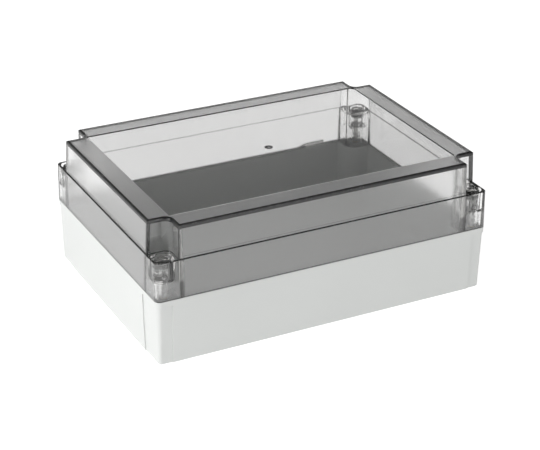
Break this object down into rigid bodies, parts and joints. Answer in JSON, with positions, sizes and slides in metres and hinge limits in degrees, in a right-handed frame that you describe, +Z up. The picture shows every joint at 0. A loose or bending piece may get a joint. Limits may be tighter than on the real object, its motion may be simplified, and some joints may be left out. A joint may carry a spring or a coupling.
{
  "type": "hinged enclosure",
  "caption": "Rectangular plastic enclosure with a grey base, a high clear smoked lid on two rear hinges, captive corner screws, a rim seal and bosses for a mounting plate.",
  "frame": {"origin": "centre of the base's flat underside, under the middle of the rim outline", "axes": "+X along the long side, +Y from the front to the hinged rear side, +Z up from the underside to the lid"},
  "size_m": [0.255, 0.1895, 0.1],
  "materials": {
    "base_plastic": "fine matt moulded light grey polycarbonate",
    "lid_plastic": "clear smoked polycarbonate, polished, with a frosted border on top",
    "screw_plastic": "translucent smoked polyamide",
    "seal": "soft matt light grey foam",
    "steel": "drawn stainless",
    "brass": "turned"
  },
  "bodies": {
    "root": {"base": "base_plastic", "gasket": "seal", "hinge_pin_left": "steel", "hinge_pin_right": "steel", "screw_insert_front_left": "brass", "plate_insert_front_left": "brass", "screw_insert_front_right": "brass", "plate_insert_front_right": "brass", "screw_insert_rear_left": "brass", "plate_insert_rear_left": "brass", "screw_insert_rear_right": "brass", "plate_insert_rear_right": "brass"},
    "lid": {"lid": "lid_plastic"},
    "washer_front_left": {"screw_washer_front_left": "seal"},
    "screw_front_left": {"lid_screw_front_left": "screw_plastic"},
    "washer_front_right": {"screw_washer_front_right": "seal"},
    "screw_front_right": {"lid_screw_front_right": "screw_plastic"},
    "washer_rear_left": {"screw_washer_rear_left": "seal"},
    "screw_rear_left": {"lid_screw_rear_left": "screw_plastic"},
    "washer_rear_right": {"screw_washer_rear_right": "seal"},
    "screw_rear_right": {"lid_screw_rear_right": "screw_plastic"}
  },
  "joints": [
    {"name": "lid_hinge", "type": "hinge", "parent": "root", "child": "lid", "pos_m": [0, 0.0955, 0.04], "axis": [-1, 0, 0], "range_deg": [0, 110]},
    {"name": "screw_slide_front_left", "type": "slide", "parent": "lid", "child": "washer_front_left", "axis": [0, 0, -1], "range_m": [0, 0.0066]},
    {"name": "screw_turn_front_left", "type": "hinge", "parent": "washer_front_left", "child": "screw_front_left", "pos_m": [-0.1195, -0.082, 0.0703], "axis": [0, 0, -1], "range_deg": [0, 720]},
    {"name": "screw_slide_front_right", "type": "slide", "parent": "lid", "child": "washer_front_right", "axis": [0, 0, -1], "range_m": [0, 0.0066]},
    {"name": "screw_turn_front_right", "type": "hinge", "parent": "washer_front_right", "child": "screw_front_right", "pos_m": [0.1195, -0.082, 0.0703], "axis": [0, 0, -1], "range_deg": [0, 720]},
    {"name": "screw_slide_rear_left", "type": "slide", "parent": "lid", "child": "washer_rear_left", "axis": [0, 0, -1], "range_m": [0, 0.0066]},
    {"name": "screw_turn_rear_left", "type": "hinge", "parent": "washer_rear_left", "child": "screw_rear_left", "pos_m": [-0.1195, 0.082, 0.0703], "axis": [0, 0, -1], "range_deg": [0, 720]},
    {"name": "screw_slide_rear_right", "type": "slide", "parent": "lid", "child": "washer_rear_right", "axis": [0, 0, -1], "range_m": [0, 0.0066]},
    {"name": "screw_turn_rear_right", "type": "hinge", "parent": "washer_rear_right", "child": "screw_rear_right", "pos_m": [0.1195, 0.082, 0.0703], "axis": [0, 0, -1], "range_deg": [0, 720]}
  ],
  "couplings": [
    {"joint": "screw_turn_front_left", "follows": "screw_slide_front_left", "rad_per_m": 1903.9},
    {"joint": "screw_turn_front_right", "follows": "screw_slide_front_right", "rad_per_m": 1903.9},
    {"joint": "screw_turn_rear_left", "follows": "screw_slide_rear_left", "rad_per_m": 1903.9},
    {"joint": "screw_turn_rear_right", "follows": "screw_slide_rear_right", "rad_per_m": 1903.9}
  ]
}
